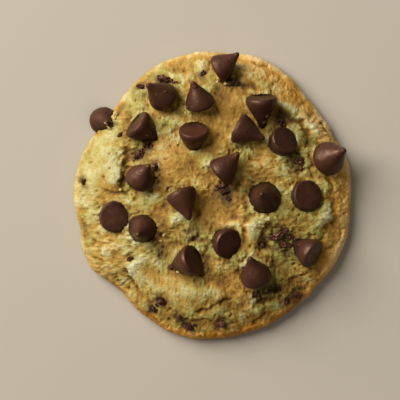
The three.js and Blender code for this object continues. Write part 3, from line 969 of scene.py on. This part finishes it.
def dough_material(settings):
    """Baked cookie dough: flour, butter and sugar, mixed by hand and baked on a sheet."""
    # To the eye it is dull and grainy all over, cream where it stayed pale, gold to brown where the oven
    # reached it, darker at pits and smudged beside melted chocolate. Shade is painted in cracks, hollows
    # and round each chip, and light on raised places.
    material, tree, shader = new_material(DOUGH_MATERIAL)
    place = add_node(tree, "ShaderNodeTexCoord").outputs["Object"]
    tone, toast, amber, hollow, stain = [
        add_node(tree, "ShaderNodeAttribute", attribute_name=name).outputs["Fac"]
        for name in ("tone", "toast", "amber", "hollow", "stain")
    ]

    # The crust's tone, shifted a little from fleck to fleck, picks a colour from each of three ramps.
    flecks = add_node(
        tree,
        "ShaderNodeTexNoise",
        {"Vector": place},
        {"Scale": 1 / (FLECK_SIZE * MM), "Detail": 4, "Roughness": 0.7},
    )
    shift = add_node(
        tree, "ShaderNodeMath", {0: flecks.outputs["Fac"]}, {1: 0.30, 2: -0.15}, operation="MULTIPLY_ADD"
    )
    shifted = add_node(tree, "ShaderNodeMath", {0: tone, 1: shift.outputs[0]}, operation="ADD")
    fleck_tone = shifted.outputs[0]
    pale = add_node(tree, "ShaderNodeValToRGB", {0: fleck_tone})
    set_stops(pale, settings, "pale", 5)
    gold = add_node(tree, "ShaderNodeValToRGB", {0: fleck_tone})
    set_stops(gold, settings, "gold", 5)
    rim = add_node(tree, "ShaderNodeValToRGB", {0: fleck_tone})
    set_stops(rim, settings, "rim", 5)
    baked = add_node(
        tree,
        "ShaderNodeMix",
        {MIX_SHARE: toast, MIX_FROM: pale.outputs[0], MIX_TO: gold.outputs[0]},
        data_type="RGBA",
    )
    edged = add_node(
        tree,
        "ShaderNodeMix",
        {MIX_SHARE: amber, MIX_FROM: baked.outputs[2], MIX_TO: rim.outputs[0]},
        data_type="RGBA",
    )

    # Pits, painted shade in hollows, and chocolate stain with painted contact shade round chips darken it
    # in turn.
    pits = add_node(
        tree,
        "ShaderNodeTexNoise",
        {"Vector": place},
        {"Scale": 1 / (PIT_SIZE * MM), "Detail": 2, "Roughness": 0.6},
    )
    pitted = add_node(
        tree,
        "ShaderNodeMapRange",
        {"Value": pits.outputs["Fac"]},
        {"From Min": 0.34, "From Max": 0.5, "To Min": 0.3, "To Max": 0.0},
    )
    hollow_shade_share = add_node(tree, "ShaderNodeMath", {0: hollow}, {1: 0.75}, operation="MULTIPLY")
    stain_and_contact_shade_share = add_node(tree, "ShaderNodeMath", {0: stain}, {1: 0.7}, operation="MULTIPLY")
    below = edged.outputs[2]
    for share, darker in (
        (pitted, settings.pit_colour),
        (hollow_shade_share, settings.hollow_shade_colour),
        (stain_and_contact_shade_share, settings.melt_stain_and_contact_shade_colour),
    ):
        mixed = add_node(
            tree, "ShaderNodeMix", {MIX_SHARE: share.outputs[0], MIX_FROM: below}, {MIX_TO: darker},
            data_type="RGBA",
        )
        below = mixed.outputs[2]
    tree.links.new(below, shader.inputs["Base Color"])
    shader.inputs["Roughness"].default_value = 0.75

    grain = add_node(
        tree,
        "ShaderNodeTexNoise",
        {"Vector": place},
        {"Scale": 1 / (GRAIN_SIZE * MM), "Detail": 4, "Roughness": 0.7},
    )
    bump = add_node(
        tree,
        "ShaderNodeBump",
        {"Height": grain.outputs["Fac"]},
        {"Strength": 1.0, "Distance": GRAIN_DEPTH * MM},
    )
    tree.links.new(bump.outputs["Normal"], shader.inputs["Normal"])
    return material


def chocolate_material(settings):
    """Dark chocolate, moulded as drops and warmed in the oven."""
    # To the eye it is a brown satin skin, a little lighter and duller here and there, darker and wetter
    # where its foot meets the dough, as painted contact shade and as melted chocolate, with small beads
    # that catch the light.
    material, tree, shader = new_material(CHOCOLATE_MATERIAL)
    place = add_node(tree, "ShaderNodeTexCoord").outputs["Object"]
    batch = add_node(
        tree, "ShaderNodeTexNoise", {"Vector": place}, {"Scale": 1 / (BATCH_SIZE * MM), "Detail": 2}
    )
    skin = add_node(tree, "ShaderNodeValToRGB", {0: batch.outputs["Fac"]})
    set_stops(skin, settings, "chocolate", 4)
    foot = add_node(tree, "ShaderNodeAttribute", attribute_name="foot").outputs["Fac"]
    patchy = add_node(
        tree, "ShaderNodeTexNoise", {"Vector": place}, {"Scale": 1 / (MELT_AND_SHADE_PATCH_SIZE * MM), "Detail": 2}
    )
    uneven = add_node(
        tree,
        "ShaderNodeMapRange",
        {"Value": patchy.outputs["Fac"]},
        {"From Min": 0.3, "From Max": 0.7, "To Min": 0.45, "To Max": 1.0},
    )
    # The foot darkening: painted contact shade, and chocolate melted against the dough.
    melt_and_contact_shade = add_node(tree, "ShaderNodeMath", {0: foot, 1: uneven.outputs[0]}, operation="MULTIPLY")
    darkened = add_node(
        tree,
        "ShaderNodeMix",
        {MIX_SHARE: melt_and_contact_shade.outputs[0], MIX_FROM: skin.outputs[0]},
        {MIX_TO: settings.melt_and_contact_shade_colour},
        data_type="RGBA",
    )
    tree.links.new(darkened.outputs[2], shader.inputs["Base Color"])
    shader.inputs["IOR"].default_value = 1.5
    shader.inputs["Specular IOR Level"].default_value = 0.45
    shader.inputs["Specular Tint"].default_value = CHOCOLATE_SHEEN

    # Scuffs and beads, each both in the relief and in the gloss.
    scuff = add_node(
        tree, "ShaderNodeTexNoise", {"Vector": place}, {"Scale": 1 / (SCUFF_SIZE * MM), "Detail": 4}
    )
    bump = add_node(
        tree,
        "ShaderNodeBump",
        {"Height": scuff.outputs["Fac"]},
        {"Strength": 0.35, "Distance": SCUFF_DEPTH * MM},
    )
    beads = add_node(tree, "ShaderNodeTexVoronoi", {"Vector": place}, {"Scale": 1 / (BEAD_SIZE * MM)})
    bead = add_node(
        tree,
        "ShaderNodeMapRange",
        {"Value": beads.outputs["Distance"]},
        {"From Min": 0.0, "From Max": 0.2, "To Min": 1.0, "To Max": 0.0},
    )
    beaded = add_node(
        tree,
        "ShaderNodeBump",
        {"Height": bead.outputs[0], "Normal": bump.outputs["Normal"]},
        {"Strength": 0.7, "Distance": BEAD_DEPTH * MM},
    )
    tree.links.new(beaded.outputs["Normal"], shader.inputs["Normal"])
    gloss = add_node(
        tree,
        "ShaderNodeMapRange",
        {"Value": scuff.outputs["Fac"]},
        {"From Min": 0.3, "From Max": 0.62, "To Min": 0.6, "To Max": 0.3},
    )
    shine = add_node(tree, "ShaderNodeMath", {0: bead.outputs[0]}, {1: -0.4}, operation="MULTIPLY")
    rough = add_node(tree, "ShaderNodeMath", {0: gloss.outputs[0], 1: shine.outputs[0]}, operation="ADD")
    tree.links.new(rough.outputs[0], shader.inputs["Roughness"])
    return material


def finish_piece(piece, material, node=None):
    """Gives a finished piece its material and its body, and hides the CAD node that it stands for."""
    piece.data.materials.clear()
    piece.data.materials.append(material)
    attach(piece, "root")
    if node:
        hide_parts(node)


# ---- the studio ----

FLOOR_WIDTH = 1.2  # metres
SENSOR_WIDTH = 36
VIEW_WIDTH = 136  # millimetres seen from side to side, at the height that is in focus
VIEW_HEIGHT = 12
VIEW_CENTRE = (-4.46, -1.63)
LIGHT_AIM = (0, 0, 0.01)
CEILING_POWER = 4.0
AIR_COLOUR = (1.0, 0.97, 0.93, 1)
AIR_STRENGTH = 0.06


def soft_light(name, place, size, power, tint, glossy):
    """A round soft light, aimed at the cookie."""
    data = bpy.data.lights.new(name, "AREA")
    data.shape = "DISK"
    data.size = size
    data.energy = power
    data.color = tint
    light = bpy.data.objects.new(name, data)
    light.location = place
    light.visible_glossy = glossy
    bpy.context.scene.collection.objects.link(light)
    light.rotation_euler = (Vector(LIGHT_AIM) - light.location).to_track_quat("-Z", "Y").to_euler()


def build_stage(settings):
    """A pale floor, a large soft light like a window, its bounce off the ceiling, and the camera."""
    scene = bpy.context.scene
    deselect()
    bpy.ops.mesh.primitive_plane_add(size=FLOOR_WIDTH)
    floor = bpy.context.object
    floor.name = "floor"
    material, tree, shader = new_material("pale paper floor")
    shader.inputs["Base Color"].default_value = settings.floor_colour
    shader.inputs["Roughness"].default_value = 0.9
    floor.data.materials.append(material)

    soft_light("window light", (-0.90, 0.66, 0.92), 1.3, settings.window_power, (1.0, 0.985, 0.95), True)
    soft_light("ceiling bounce", (0.45, -0.4, 1.2), 1.6, CEILING_POWER, (1.0, 0.97, 0.92), False)
    air = bpy.data.worlds.new("studio air")
    air.use_nodes = True
    air.node_tree.nodes["Background"].inputs["Color"].default_value = AIR_COLOUR
    air.node_tree.nodes["Background"].inputs["Strength"].default_value = AIR_STRENGTH
    scene.world = air

    data = bpy.data.cameras.new("camera")
    data.sensor_width = SENSOR_WIDTH
    data.lens = SENSOR_WIDTH * (settings.camera_height - VIEW_HEIGHT) / VIEW_WIDTH
    camera = bpy.data.objects.new("camera", data)
    camera.location = Vector((*VIEW_CENTRE, settings.camera_height)) * MM
    scene.collection.objects.link(camera)
    scene.camera = camera
    scene.view_settings.view_transform = "Standard"
    scene.view_settings.look = "Medium High Contrast"


# ---- add-on ----

class COOKIE_OT_dough(bpy.types.Operator):
    """Build the baked dough"""

    bl_idname = "cookie.dough"
    bl_label = "Dough"

    def execute(self, context):
        settings = context.scene.cookie
        dough = build_crust(settings)
        finish_piece(dough, dough_material(settings), DOUGH_NODE)
        return {"FINISHED"}


class COOKIE_OT_chips(bpy.types.Operator):
    """Build the whole chips"""

    bl_idname = "cookie.chips"
    bl_label = "Whole chips"

    def execute(self, context):
        settings = context.scene.cookie
        material = chocolate_material(settings)
        crust = crust_tree()
        for node in CHIP_NODES:
            finish_piece(build_chip(node, crust, settings), material, node)
        return {"FINISHED"}


class COOKIE_OT_bits(bpy.types.Operator):
    """Build the broken bits of chips, once the whole chips are there"""

    bl_idname = "cookie.bits"
    bl_label = "Broken bits"

    def execute(self, context):
        material = bpy.data.materials[CHOCOLATE_MATERIAL]
        for node in BIT_NODES:
            finish_piece(build_bit(node), material, node)
        return {"FINISHED"}


class COOKIE_OT_smears(bpy.types.Operator):
    """Build the smears of melted chocolate, once the chips are there"""

    bl_idname = "cookie.smears"
    bl_label = "Melted smears"

    def execute(self, context):
        smears = build_lumps("melted_smears", CHOCOLATE_SMEARS, seed=231, sunk=0.6)
        finish_piece(smears, bpy.data.materials[CHOCOLATE_MATERIAL])
        return {"FINISHED"}


class COOKIE_OT_flakes(bpy.types.Operator):
    """Build the crumbs and flakes of dough on the crust, once the dough is there"""

    bl_idname = "cookie.flakes"
    bl_label = "Dough flakes"

    def execute(self, context):
        flakes = build_lumps("dough_flakes", DOUGH_FLAKES, seed=241, sunk=0.45)
        for name, value in FLAKE_FIELDS.items():
            add_field(flakes.data, name, np.full(len(flakes.data.vertices), value))
        finish_piece(flakes, bpy.data.materials[DOUGH_MATERIAL])
        return {"FINISHED"}


class COOKIE_OT_stage(bpy.types.Operator):
    """Build the floor, the lights and the camera"""

    bl_idname = "cookie.stage"
    bl_label = "Stage"

    def execute(self, context):
        build_stage(context.scene.cookie)
        return {"FINISHED"}


class COOKIE_PT_panel(bpy.types.Panel):
    """The cookie's settings and steps"""

    bl_idname = "COOKIE_PT_panel"
    bl_label = "Chocolate chip cookie"
    bl_space_type = "VIEW_3D"
    bl_region_type = "UI"
    bl_category = "Cookie"

    def draw(self, context):
        settings = context.scene.cookie
        for name in settings.bl_rna.properties.keys():
            if name not in ("rna_type", "name"):
                self.layout.prop(settings, name)
        for item in OPERATORS:
            self.layout.operator(item.bl_idname)


OPERATORS = (
    COOKIE_OT_dough,
    COOKIE_OT_chips,
    COOKIE_OT_bits,
    COOKIE_OT_smears,
    COOKIE_OT_flakes,
    COOKIE_OT_stage,
)
CLASSES = (CookieSettings, *OPERATORS, COOKIE_PT_panel)


def register():
    for item in CLASSES:
        bpy.utils.register_class(item)
    bpy.types.Scene.cookie = PointerProperty(type=CookieSettings)


def unregister():
    del bpy.types.Scene.cookie
    for item in reversed(CLASSES):
        bpy.utils.unregister_class(item)


def main():
    """Builds everything in order."""
    register()
    bpy.ops.cookie.dough()
    bpy.ops.cookie.chips()
    bpy.ops.cookie.bits()
    bpy.ops.cookie.smears()
    bpy.ops.cookie.flakes()
    bpy.ops.cookie.stage()


if __name__ == "__main__":
    main()
